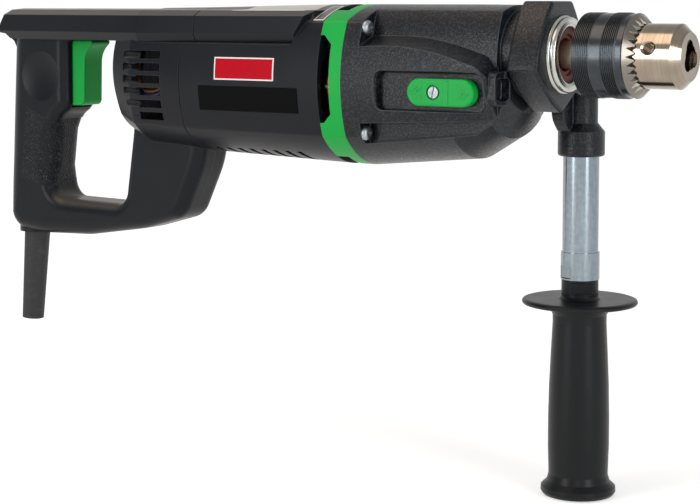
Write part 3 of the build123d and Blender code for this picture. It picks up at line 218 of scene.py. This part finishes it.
def mouldedNylon(name, grain=1.0, palm=None):
    material, tree, shader, place = startMaterial(name)
    cloud = addNode(tree, "TexNoise", {"Vector": place}, {"Scale": 1 / nylon["cloud"], "Detail": 3.0})
    speck = addNode(tree, "TexNoise", {"Vector": place},
                    {"Scale": 1 / (nylon["grain"] * grain), "Detail": 1.0})
    soft, edge = edgeWearAndHighlight(tree, nylon["edgeRadius"])
    tone = addNode(tree, "MixRGB", {"Fac": cloud.outputs["Fac"]},
                   {"Color1": hexColour(nylon["colour"]), "Color2": hexColour(nylon["pale"])})
    # Edges are painted paler, as edge wear and as painted highlight
    wornAndHighlit = addNode(tree, "MixRGB", {"Fac": edge, "Color1": tone.outputs["Color"]},
                   {"Color2": hexColour(nylon["edge"])})
    # Upward faces are painted paler, as dust and as painted light from above
    upright = addNode(tree, "SeparateXYZ", {"Vector": addNode(tree, "NewGeometry").outputs["Normal"]})
    dustAndTopLightShare = addNode(tree, "MapRange", {"Value": upright.outputs["Z"]},
                      {"From Min": nylon["dustAndTopLightFrom"], "From Max": 1.0, "To Max": nylon["dustAndTopLightCover"]})
    dustyAndTopLit = addNode(tree, "MixRGB", {"Fac": dustAndTopLightShare.outputs["Result"], "Color1": wornAndHighlit.outputs["Color"]},
                    {"Color2": hexColour(nylon["dustAndTopLight"])})
    sheen = addNode(tree, "MapRange", {"Value": cloud.outputs["Fac"]},
                    {"To Min": nylon["smooth"], "To Max": nylon["dull"]})
    normal = soft
    if palm:  # a leather-like field where the palm lies, bounded by four lines across the grip's side
        field = None
        axes = addNode(tree, "SeparateXYZ", {"Vector": place})
        for x, z, level in palm["lines"]:
            across = addNode(tree, "Math", {0: axes.outputs["X"]}, {1: x}, operation="MULTIPLY")
            both = addNode(tree, "Math", {0: axes.outputs["Z"], 2: across.outputs[0]}, {1: z},
                           operation="MULTIPLY_ADD")
            inside = addNode(tree, "MapRange", {"Value": both.outputs[0]},
                             {"From Min": level, "From Max": level + palm["fade"]})
            links = {0: inside.outputs["Result"]}
            if field:
                links[1] = field
            field = addNode(tree, "Math", links, {1: 1.0}, operation="MULTIPLY").outputs[0]
        hide = addNode(tree, "TexVoronoi", {"Vector": place}, {"Scale": 1 / palm["grain"]},
                       feature="DISTANCE_TO_EDGE")
        raised = addNode(tree, "Math", {0: hide.outputs["Distance"], 1: field}, operation="MULTIPLY")
        normal = addNode(tree, "Bump", {"Height": raised.outputs[0], "Normal": soft},
                         {"Strength": palm["strength"], "Distance": palm["depth"]}).outputs["Normal"]
    bump = addNode(tree, "Bump", {"Height": speck.outputs["Fac"], "Normal": normal},
                   {"Strength": nylon["grainStrength"], "Distance": nylon["grainDepth"]})
    dress(tree, shader, dustyAndTopLit, sheen, bump)
    shader.inputs["Specular IOR Level"].default_value = nylon["gloss"]
    return material


palmField = {"grain": 1.7 * mm, "depth": 0.8 * mm, "strength": 0.9, "fade": 1.5 * mm,
             # x, z and level of each bounding line: inside where x*X + z*Z is above the level
             "lines": [(-0.405, -0.914, 0.2125), (-0.994, 0.106, 0.3992),
                       (0.241, 0.970, -0.1902), (0.994, -0.108, -0.4326)]}
paint(mouldedNylon("moulded nylon, handle", palm=palmField), "handle_shell_right", "handle_shell_left")
paint(mouldedNylon("moulded nylon, motor housing"), "motor_housing")
paint(mouldedNylon("moulded nylon, switch", grain=0.8), "switch_body", "brush_holders")

# Grained black coating on a casting: an orange-peel of small bumps whose tops are painted paler as a speckle
# of glints
coat = {"colour": "#080b0f", "top": "#3a414a", "topFrom": 0.5, "topFull": 0.74, "edge": "#50565e",
        "edgeRadius": 1.2 * mm, "dull": 0.42, "dullTo": 0.3, "smooth": 0.24, "smoothFrom": 0.7,
        "gloss": 0.27, "grain": 1.02 * mm, "depth": 0.26 * mm, "strength": 0.5}
material, tree, shader, place = startMaterial("grained coating on cast alloy")
grit = addNode(tree, "TexNoise", {"Vector": place},
               {"Scale": 1 / coat["grain"], "Detail": 2.0, "Roughness": 0.6})
# Bump tops are painted paler: painted glints
glintShare = addNode(tree, "MapRange", {"Value": grit.outputs["Fac"]},
               {"From Min": coat["topFrom"], "From Max": coat["topFull"]})
soft, edge = edgeWearAndHighlight(tree, coat["edgeRadius"])
tone = addNode(tree, "MixRGB", {"Fac": glintShare.outputs["Result"]},
               {"Color1": hexColour(coat["colour"]), "Color2": hexColour(coat["top"])})
# Edges are painted paler, as edge wear and as painted highlight
wornAndHighlit = addNode(tree, "MixRGB", {"Fac": edge, "Color1": tone.outputs["Color"]},
               {"Color2": hexColour(coat["edge"])})
sheen = addNode(tree, "MapRange", {"Value": grit.outputs["Fac"]},
                {"From Min": coat["dullTo"], "From Max": coat["smoothFrom"],
                 "To Min": coat["dull"], "To Max": coat["smooth"]})
bump = addNode(tree, "Bump", {"Height": grit.outputs["Fac"], "Normal": soft},
               {"Strength": coat["strength"], "Distance": coat["depth"]})
dress(tree, shader, wornAndHighlit, sheen, bump)
shader.inputs["Specular IOR Level"].default_value = coat["gloss"]
paint(material, "gearbox_housing", "clamp_ring", "selector_floor")

# Smooth moulded grip plastic: black with long soft highlights and faint flow marks down its length
grip = {"colour": "#0d0f11", "pale": "#15181b", "smooth": 0.3, "dull": 0.42, "gloss": 0.2, "flow": 9 * mm,
        "stretch": (1, 1, 0.15), "edgeRadius": 0.6 * mm, "grainDepth": 0.03 * mm, "grainStrength": 0.2}
material, tree, shader, place = startMaterial("smooth moulded grip plastic")
stretched = addNode(tree, "Mapping", {"Vector": place}, {"Scale": grip["stretch"]})
flow = addNode(tree, "TexNoise", {"Vector": stretched.outputs["Vector"]},
               {"Scale": 1 / grip["flow"], "Detail": 3.0})
speck = addNode(tree, "TexNoise", {"Vector": place}, {"Scale": 1 / nylon["grain"], "Detail": 1.0})
soft = edgeWearAndHighlight(tree, grip["edgeRadius"])[0]
tone = addNode(tree, "MixRGB", {"Fac": flow.outputs["Fac"]},
               {"Color1": hexColour(grip["colour"]), "Color2": hexColour(grip["pale"])})
sheen = addNode(tree, "MapRange", {"Value": flow.outputs["Fac"]},
                {"To Min": grip["smooth"], "To Max": grip["dull"]})
bump = addNode(tree, "Bump", {"Height": speck.outputs["Fac"], "Normal": soft},
               {"Strength": grip["grainStrength"], "Distance": grip["grainDepth"]})
dress(tree, shader, tone, sheen, bump)
shader.inputs["Specular IOR Level"].default_value = grip["gloss"]
paint(material, "side_grip")

# Moulded green polyamide: clear grass green, satin, its edges painted paler as rubbing and as painted
# highlight
green = {"colour": "#06a03e", "pale": "#0cab46", "edge": "#4cc274", "edgeRadius": 0.6 * mm,
         "smooth": 0.35, "dull": 0.47, "gloss": 0.22, "cloud": 14 * mm, "grainDepth": 0.03 * mm,
         "grainStrength": 0.2}
material, tree, shader, place = startMaterial("moulded green polyamide")
cloud = addNode(tree, "TexNoise", {"Vector": place}, {"Scale": 1 / green["cloud"], "Detail": 3.0})
speck = addNode(tree, "TexNoise", {"Vector": place}, {"Scale": 1 / nylon["grain"], "Detail": 1.0})
soft, edge = edgeWearAndHighlight(tree, green["edgeRadius"])
tone = addNode(tree, "MixRGB", {"Fac": cloud.outputs["Fac"]},
               {"Color1": hexColour(green["colour"]), "Color2": hexColour(green["pale"])})
# Edges are painted paler, as rubbing and as painted highlight
wornAndHighlit = addNode(tree, "MixRGB", {"Fac": edge, "Color1": tone.outputs["Color"]},
               {"Color2": hexColour(green["edge"])})
sheen = addNode(tree, "MapRange", {"Value": cloud.outputs["Fac"]},
                {"To Min": green["smooth"], "To Max": green["dull"]})
bump = addNode(tree, "Bump", {"Height": speck.outputs["Fac"], "Normal": soft},
               {"Strength": green["grainStrength"], "Distance": green["grainDepth"]})
dress(tree, shader, wornAndHighlit, sheen, bump)
shader.inputs["Specular IOR Level"].default_value = green["gloss"]
paint(material, "air_outlet_ring", "trigger", "selector_knob")

# Bare black film plate: near-black with hardly a reflection, slightly uneven
plate = {"colour": "#050506", "smooth": 0.31, "dull": 0.46, "gloss": 0.05, "wave": 12 * mm,
         "depth": 0.1 * mm, "strength": 0.15}
material, tree, shader, place = startMaterial("black film")
wave = addNode(tree, "TexNoise", {"Vector": place}, {"Scale": 1 / plate["wave"], "Detail": 2.0})
sheen = addNode(tree, "MapRange", {"Value": wave.outputs["Fac"]},
                {"To Min": plate["smooth"], "To Max": plate["dull"]})
bump = addNode(tree, "Bump", {"Height": wave.outputs["Fac"]},
               {"Strength": plate["strength"], "Distance": plate["depth"]})
tree.links.new(sheen.outputs["Result"], shader.inputs["Roughness"])
tree.links.new(bump.outputs["Normal"], shader.inputs["Normal"])
shader.inputs["Base Color"].default_value = hexColour(plate["colour"])
shader.inputs["Specular IOR Level"].default_value = plate["gloss"]
paint(material, "name_plate")

# Enamelled badge film: clear red with a white edge line all round
badge = {"red": "#c01024", "dark": "#ab0c1e", "white": "#e9e7e4", "line": 0.8 * mm, "cloud": 6 * mm,
         "smooth": 0.16, "dull": 0.3, "gloss": 0.1}
low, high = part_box("badge_plate")
material, tree, shader, place = startMaterial("gloss red film with white edge")
rim = edgeLine(tree, place, {"X": (low.x, high.x), "Z": (low.z, high.z)}, badge["line"])
cloud = addNode(tree, "TexNoise", {"Vector": place}, {"Scale": 1 / badge["cloud"], "Detail": 2.0})
tone = addNode(tree, "MixRGB", {"Fac": cloud.outputs["Fac"]},
               {"Color1": hexColour(badge["red"]), "Color2": hexColour(badge["dark"])})
edged = addNode(tree, "MixRGB", {"Fac": rim, "Color1": tone.outputs["Color"]},
                {"Color2": hexColour(badge["white"])})
sheen = addNode(tree, "MapRange", {"Value": cloud.outputs["Fac"]},
                {"To Min": badge["smooth"], "To Max": badge["dull"]})
dress(tree, shader, edged, sheen)
shader.inputs["Specular IOR Level"].default_value = badge["gloss"]
paint(material, "badge_plate")

# Soft PVC of the cord's bend relief: dull grey-black, scuffed in pale patches
relief = {"colour": "#17181a", "scuff": "#303236", "scuffFrom": 0.5, "scuffFull": 0.75, "smooth": 0.48,
          "dull": 0.7, "patch": 8 * mm, "depth": 0.1 * mm, "strength": 0.3}
material, tree, shader, place = startMaterial("soft PVC, scuffed")
patch = addNode(tree, "TexNoise", {"Vector": place},
                {"Scale": 1 / relief["patch"], "Detail": 5.0, "Roughness": 0.65})
rubbed = addNode(tree, "MapRange", {"Value": patch.outputs["Fac"]},
                 {"From Min": relief["scuffFrom"], "From Max": relief["scuffFull"]})
tone = addNode(tree, "MixRGB", {"Fac": rubbed.outputs["Result"]},
               {"Color1": hexColour(relief["colour"]), "Color2": hexColour(relief["scuff"])})
sheen = addNode(tree, "MapRange", {"Value": patch.outputs["Fac"]},
                {"To Min": relief["smooth"], "To Max": relief["dull"]})
bump = addNode(tree, "Bump", {"Height": patch.outputs["Fac"]},
               {"Strength": relief["strength"], "Distance": relief["depth"]})
dress(tree, shader, tone, sheen, bump)
paint(material, "cord_sleeve")

# Nitrile seal: brown-red rubber, dull, with an oily darker bloom
seal = {"colour": "#a8482e", "oil": "#6a2a1c", "dull": 0.6, "smooth": 0.35, "bloom": 5 * mm}
material, tree, shader, place = startMaterial("brown nitrile rubber")
oil = addNode(tree, "TexNoise", {"Vector": place}, {"Scale": 1 / seal["bloom"], "Detail": 3.0})
tone = addNode(tree, "MixRGB", {"Fac": oil.outputs["Fac"]},
               {"Color1": hexColour(seal["colour"]), "Color2": hexColour(seal["oil"])})
sheen = addNode(tree, "MapRange", {"Value": oil.outputs["Fac"]},
                {"To Min": seal["dull"], "To Max": seal["smooth"]})
dress(tree, shader, tone, sheen)
paint(material, "spindle_seal")

# Metals: colour, paler colour, roughness, size of the clouds, and the turning or drawing marks with their
# size in mm along X, Y and Z
metals = {
    # Blue-passivated zinc on steel: cool grey, cloudy from the bath, softly shining
    "zinc-plated steel": {
        "colour": "#7c878e", "pale": "#8b969d", "roughness": 0.15, "cloud": 2.5 * mm,
        "marks": (1.2, 1.2, 14), "depth": 0.02 * mm,
        "nodes": ("extension_tube", "handle_ferrule", "handle_stud", "thrust_washer")},
    # The same plating on cold-headed screws, duller
    "zinc-plated screws": {
        "colour": "#8f979b", "pale": "#b0b6b8", "roughness": 0.45, "cloud": 2 * mm, "marks": (1, 1, 1),
        "depth": 0.03 * mm, "nodes": ("gearbox_screws", "handle_screws", "selector_screw")},
    # Turned and nickelled steel: warm bright metal with fine rings round its axis
    "turned nickelled steel": {
        "colour": "#8b8073", "pale": "#a09586", "roughness": 0.16, "cloud": 12 * mm, "marks": (0.9, 60, 60),
        "depth": 0.008 * mm, "nodes": ("chuck_body", "chuck_screw")},
    # Ground bright steel of the neck and the bearings: pale and clean, with hardly a ring to see
    "ground bright steel": {
        "colour": "#adafa9", "pale": "#c8cac4", "roughness": 0.25, "cloud": 10 * mm, "marks": (0.9, 60, 60),
        "depth": 0.012 * mm,
        "nodes": ("collar", "spindle_front_bearing", "armature_front_bearing", "armature_rear_bearing")},
    # Turned spindle steel: duller and warmer than the neck
    "turned spindle steel": {
        "colour": "#cdc4b4", "pale": "#dfd6c6", "roughness": 0.4, "cloud": 8 * mm, "marks": (0.9, 60, 60),
        "depth": 0.01 * mm, "nodes": ("spindle",)},
    # Hardened jaw steel: darker, smooth, a little oily
    "hardened jaw steel": {
        "colour": "#77726a", "pale": "#98928a", "roughness": 0.28, "cloud": 6 * mm, "marks": (1.2, 8, 8),
        "depth": 0.02 * mm, "nodes": ("jaw_1", "jaw_2", "jaw_3", "chuck_nut")},
    # Hobbed gear steel: mid grey, oily, cutter marks across the teeth
    "hobbed gear steel": {
        "colour": "#6f7173", "pale": "#8d9092", "roughness": 0.33, "cloud": 8 * mm, "marks": (0.9, 20, 20),
        "depth": 0.03 * mm,
        "nodes": ("countershaft", "middle_gear", "high_pinion", "low_wheel", "high_wheel", "dog_ring",
                  "shift_fork", "armature_shaft", "trigger_spring")},
    # Die-cast aluminium: pale grey with a dull cast skin
    "die-cast aluminium": {
        "colour": "#8c8e90", "pale": "#a9abad", "roughness": 0.45, "cloud": 5 * mm, "marks": (2, 2, 2),
        "depth": 0.06 * mm, "nodes": ("gear_plate", "cooling_fan")},
    # Sintered bronze: warm brown-gold, dull with oil in its pores
    "sintered bronze": {
        "colour": "#8a6238", "pale": "#a67c4c", "roughness": 0.42, "cloud": 3 * mm, "marks": (1, 1, 1),
        "depth": 0.05 * mm, "nodes": ("spindle_rear_bush", "countershaft_bushes")},
    # Enamelled copper wire: red-brown with a lacquer shine, wires side by side
    "enamelled copper": {
        "colour": "#8e4620", "pale": "#b0602e", "roughness": 0.3, "cloud": 4 * mm, "marks": (0.9, 12, 12),
        "depth": 0.12 * mm, "nodes": ("armature_winding", "field_coils", "commutator")},
    # Stacked core iron: dark grey sheets edge-on, a fine line between each
    "laminated core iron": {
        "colour": "#3f4042", "pale": "#5b5d60", "roughness": 0.5, "cloud": 9 * mm, "marks": (0.9, 80, 80),
        "depth": 0.12 * mm, "nodes": ("armature_core", "stator_core")},
}
# Where clouds and marks together turn a metal to its paler colour, and how far clouds change its roughness
metalSkin = {"paleFrom": 0.12, "paleFull": 0.4, "duller": 0.07, "smoother": 0.06, "strength": 0.25}
for name, metal in metals.items():
    material, tree, shader, place = startMaterial(name)
    cloud = addNode(tree, "TexNoise", {"Vector": place}, {"Scale": 1 / metal["cloud"], "Detail": 4.0})
    grooves = addNode(tree, "Mapping", {"Vector": place},
                      {"Scale": tuple(1 / (mm * size) for size in metal["marks"])})
    marks = addNode(tree, "TexNoise", {"Vector": grooves.outputs["Vector"]}, {"Scale": 1.0, "Detail": 2.0})
    both = addNode(tree, "Math", {0: cloud.outputs["Fac"], 1: marks.outputs["Fac"]}, operation="MULTIPLY")
    share = addNode(tree, "MapRange", {"Value": both.outputs[0]},
                    {"From Min": metalSkin["paleFrom"], "From Max": metalSkin["paleFull"]})
    tone = addNode(tree, "MixRGB", {"Fac": share.outputs["Result"]},
                   {"Color1": hexColour(metal["colour"]), "Color2": hexColour(metal["pale"])})
    sheen = addNode(tree, "MapRange", {"Value": cloud.outputs["Fac"]},
                    {"To Min": metal["roughness"] + metalSkin["duller"],
                     "To Max": metal["roughness"] - metalSkin["smoother"]})
    bump = addNode(tree, "Bump", {"Height": marks.outputs["Fac"]},
                   {"Strength": metalSkin["strength"], "Distance": metal["depth"]})
    dress(tree, shader, tone, sheen, bump)
    shader.inputs["Metallic"].default_value = 1.0
    paint(material, *metal["nodes"])

# Blued steel sleeve: blue-black and softly polished on its plain bands, rubbed to bare steel on the cut
# teeth in front
sleeve = {"blued": "#3e4246", "rubbed": "#4c4f51", "rubbedFrom": 0.45, "rubbedFull": 0.8, "bare": "#7c776f",
          "bluedTo": -15.9 * mm, "bareFrom": -15.5 * mm, "bluedRoughness": 0.24, "bareRoughness": 0.27,
          "cloud": 6 * mm, "edgeRadius": 0.4 * mm, "depth": 0.05 * mm, "strength": 0.1}
material, tree, shader, place = startMaterial("blued steel, teeth bare")
axes = addNode(tree, "SeparateXYZ", {"Vector": place})
bare = addNode(tree, "MapRange", {"Value": axes.outputs["X"]},
               {"From Min": sleeve["bluedTo"], "From Max": sleeve["bareFrom"]})
cloud = addNode(tree, "TexNoise", {"Vector": place}, {"Scale": 1 / sleeve["cloud"], "Detail": 5.0})
patchy = addNode(tree, "MapRange", {"Value": cloud.outputs["Fac"]},
                 {"From Min": sleeve["rubbedFrom"], "From Max": sleeve["rubbedFull"]})
oxide = addNode(tree, "MixRGB", {"Fac": patchy.outputs["Result"]},
                {"Color1": hexColour(sleeve["blued"]), "Color2": hexColour(sleeve["rubbed"])})
tone = addNode(tree, "MixRGB", {"Fac": bare.outputs["Result"], "Color1": oxide.outputs["Color"]},
               {"Color2": hexColour(sleeve["bare"])})
sheen = addNode(tree, "MapRange", {"Value": bare.outputs["Result"]},
                {"To Min": sleeve["bluedRoughness"], "To Max": sleeve["bareRoughness"]})
soft = edgeWearAndHighlight(tree, sleeve["edgeRadius"])[0]
bump = addNode(tree, "Bump", {"Height": cloud.outputs["Fac"], "Normal": soft},
               {"Strength": sleeve["strength"], "Distance": sleeve["depth"]})
dress(tree, shader, tone, sheen, bump)
shader.inputs["Metallic"].default_value = 1.0
paint(material, "chuck_sleeve")

# Small things inside: carbon brushes and PVC leads, each with a colour, a paler colour and a roughness
small = {"pressed carbon": ("#1c1c1d", "#2a2a2b", 0.55, "carbon_brushes"),
         "brown PVC": ("#5a2f12", "#6b3a18", 0.45, "lead_brown"),
         "blue PVC": ("#12325c", "#1a3f6e", 0.45, "lead_blue")}
smallSkin = {"cloud": 3 * mm, "spread": 0.08}
for name, (colour, pale, roughness, piece) in small.items():
    material, tree, shader, place = startMaterial(name)
    cloud = addNode(tree, "TexNoise", {"Vector": place}, {"Scale": 1 / smallSkin["cloud"], "Detail": 3.0})
    tone = addNode(tree, "MixRGB", {"Fac": cloud.outputs["Fac"]},
                   {"Color1": hexColour(colour), "Color2": hexColour(pale)})
    sheen = addNode(tree, "MapRange", {"Value": cloud.outputs["Fac"]},
                    {"To Min": roughness - smallSkin["spread"], "To Max": roughness + smallSkin["spread"]})
    dress(tree, shader, tone, sheen)
    paint(material, piece)
print("finishes done")


# Knurled bands on the chuck's sleeve

# Blued knurling: the sleeve's oxide, darker and dull, rubbed a little paler in patches
knurled = {"colour": "#1b1d21", "rubbed": "#34373b", "dull": 0.48, "smooth": 0.36, "cloud": 5 * mm}
material, tree, shader, place = startMaterial("blued steel, knurled")
cloud = addNode(tree, "TexNoise", {"Vector": place}, {"Scale": 1 / knurled["cloud"], "Detail": 4.0})
tone = addNode(tree, "MixRGB", {"Fac": cloud.outputs["Fac"]},
               {"Color1": hexColour(knurled["colour"]), "Color2": hexColour(knurled["rubbed"])})
sheen = addNode(tree, "MapRange", {"Value": cloud.outputs["Fac"]},
                {"To Min": knurled["dull"], "To Max": knurled["smooth"]})
dress(tree, shader, tone, sheen)
shader.inputs["Metallic"].default_value = 1.0
knurledSteel = material

# Only the edges that run along the band reach past "along" in X
knurl = {"radius": 22.86 * mm, "columns": 150, "pitch": 1.05 * mm, "height": 0.13 * mm, "along": 1 * mm,
         "bands": {"knurl_rear": (-44.1 * mm, -34.7 * mm), "knurl_front": (-27.5 * mm, -20.1 * mm)}}
for name, (back, front) in knurl["bands"].items():
    bpy.ops.object.select_all(action="DESELECT")
    bpy.ops.mesh.primitive_cylinder_add(vertices=knurl["columns"], radius=knurl["radius"],
                                        depth=front - back, end_fill_type="NOTHING",
                                        location=((back + front) / 2, 0, 0), rotation=(0, math.pi / 2, 0))
    band = bpy.context.object
    band.name = name
    bpy.ops.object.transform_apply(location=True, rotation=True, scale=True)
    bpy.ops.object.mode_set(mode="EDIT")
    bpy.ops.mesh.select_all(action="DESELECT")
    bpy.ops.object.mode_set(mode="OBJECT")
    points = band.data.vertices
    for edge in band.data.edges:
        start, end = (points[number].co.x for number in edge.vertices)
        edge.select = abs(start - end) > knurl["along"]
    bpy.ops.object.mode_set(mode="EDIT")
    bpy.ops.mesh.subdivide(number_cuts=round((front - back) / knurl["pitch"]) - 1)
    bpy.ops.mesh.select_all(action="SELECT")
    bpy.ops.mesh.poke()  # crossing lines, then the squares between them, then a point on each
    bpy.ops.mesh.tris_convert_to_quads(face_threshold=math.pi, shape_threshold=math.pi)
    bpy.ops.mesh.poke(offset=knurl["height"])
    bpy.ops.object.mode_set(mode="OBJECT")
    band.data.materials.append(knurledSteel)
    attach(band, "sleeve_body")
print("knurl done")


# Return spring behind the trigger, built at one fixed length; the real one shortens as the trigger is pulled

spring = {"start": (-425.7 * mm, 0, -15 * mm), "length": 13 * mm, "turns": 5, "turnSteps": 24,
          "radius": 2.9 * mm, "wire": 0.35 * mm, "wireSides": 10, "smoothTo": math.radians(50),
          "pulled": 0.5}
bpy.ops.object.select_all(action="DESELECT")
bpy.ops.mesh.primitive_circle_add(vertices=spring["wireSides"], radius=spring["wire"],
                                  location=(0, 0, spring["radius"]), rotation=(math.pi / 2, 0, 0))
coil = bpy.context.object
coil.name = "return_spring"
bpy.ops.object.transform_apply(location=True, rotation=True, scale=True)
wound = coil.modifiers.new("wind the wire", "SCREW")
wound.axis = "X"
wound.screw_offset = spring["length"] / spring["turns"]
wound.iterations = spring["turns"]
wound.steps = wound.render_steps = spring["turnSteps"]
bpy.ops.object.modifier_apply(modifier=wound.name)
bpy.ops.object.mode_set(mode="EDIT")
bpy.ops.mesh.select_all(action="SELECT")
bpy.ops.mesh.fill_holes(sides=0)
bpy.ops.mesh.select_all(action="SELECT")
bpy.ops.mesh.normals_make_consistent(inside=False)
bpy.ops.transform.translate(value=spring["start"])
bpy.ops.object.mode_set(mode="OBJECT")
bpy.ops.object.shade_smooth_by_angle(angle=spring["smoothTo"])
coil.data.materials.append(nodes["trigger_spring"].data.materials[0])
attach(coil, "housing")
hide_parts("trigger_spring")
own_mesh(coil)
print("spring done")


# Labels on top of the motor housing

# Metallised label film: pale silver, hairline brushed along the tool, hairs sized in mm along X, Y and Z
film = {"colour": "#b9b6b1", "pale": "#d8d5cf", "smooth": 0.26, "dull": 0.4, "metal": 0.6,
        "hair": (30, 0.9, 0.9)}
material, tree, shader, place = startMaterial("brushed silver label film")
hairs = addNode(tree, "Mapping", {"Vector": place},
                {"Scale": tuple(1 / (mm * size) for size in film["hair"])})
brush = addNode(tree, "TexNoise", {"Vector": hairs.outputs["Vector"]}, {"Scale": 1.0, "Detail": 3.0})
tone = addNode(tree, "MixRGB", {"Fac": brush.outputs["Fac"]},
               {"Color1": hexColour(film["colour"]), "Color2": hexColour(film["pale"])})
sheen = addNode(tree, "MapRange", {"Value": brush.outputs["Fac"]},
                {"To Min": film["smooth"], "To Max": film["dull"]})
dress(tree, shader, tone, sheen)
shader.inputs["Metallic"].default_value = film["metal"]
silverFilm = material

# Grey label film: a plain grey field inside a thin white line
notice = {"grey": "#6c6a68", "shade": "#5b5957", "white": "#e4e2df", "line": 0.7 * mm, "smooth": 0.29,
          "dull": 0.43, "cloud": 4 * mm, "x": (-199.5 * mm, -192.6 * mm), "y": (-35 * mm, -14 * mm)}
material, tree, shader, place = startMaterial("grey label film with white edge")
rim = edgeLine(tree, place, {"X": notice["x"], "Y": notice["y"]}, notice["line"])
cloud = addNode(tree, "TexNoise", {"Vector": place}, {"Scale": 1 / notice["cloud"], "Detail": 2.0})
tone = addNode(tree, "MixRGB", {"Fac": cloud.outputs["Fac"]},
               {"Color1": hexColour(notice["grey"]), "Color2": hexColour(notice["shade"])})
edged = addNode(tree, "MixRGB", {"Fac": rim, "Color1": tone.outputs["Color"]},
                {"Color2": hexColour(notice["white"])})
sheen = addNode(tree, "MapRange", {"Value": cloud.outputs["Fac"]},
                {"To Min": notice["smooth"], "To Max": notice["dull"]})
dress(tree, shader, edged, sheen)
greyFilm = material

labels = {"type_label": {"x": (-258.5 * mm, -206.5 * mm), "y": (-33.5 * mm, 18 * mm),
                         "material": silverFilm},
          "small_label": {"x": notice["x"], "y": notice["y"], "material": greyFilm}}
# A flat sheet above the housing is dropped onto it and thickened
laid = {"columns": 16, "rows": 30, "above": 60 * mm, "gap": 0.06 * mm, "thickness": 0.12 * mm,
        "smoothTo": math.radians(30)}
for name, label in labels.items():
    (back, front), (right, left) = label["x"], label["y"]
    bpy.ops.object.select_all(action="DESELECT")
    bpy.ops.mesh.primitive_grid_add(x_subdivisions=laid["columns"], y_subdivisions=laid["rows"], size=1,
                                    location=((back + front) / 2, (right + left) / 2, laid["above"]))
    sheet = bpy.context.object
    sheet.name = name
    sheet.scale = (front - back, left - right, 1)
    bpy.ops.object.transform_apply(location=True, rotation=True, scale=True)
    wrap = sheet.modifiers.new("lay on the housing", "SHRINKWRAP")
    wrap.target = nodes["motor_housing"]
    wrap.wrap_method = "PROJECT"
    wrap.use_project_z = True
    wrap.use_negative_direction = True
    wrap.use_positive_direction = False
    wrap.offset = laid["gap"]
    bpy.ops.object.modifier_apply(modifier=wrap.name)
    thick = sheet.modifiers.new("film", "SOLIDIFY")
    thick.thickness = laid["thickness"]
    thick.offset = 1.0
    bpy.ops.object.modifier_apply(modifier=thick.name)
    bpy.ops.object.shade_smooth_by_angle(angle=laid["smoothTo"])
    sheet.data.materials.append(label["material"])
    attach(sheet, "housing")
print("labels done")
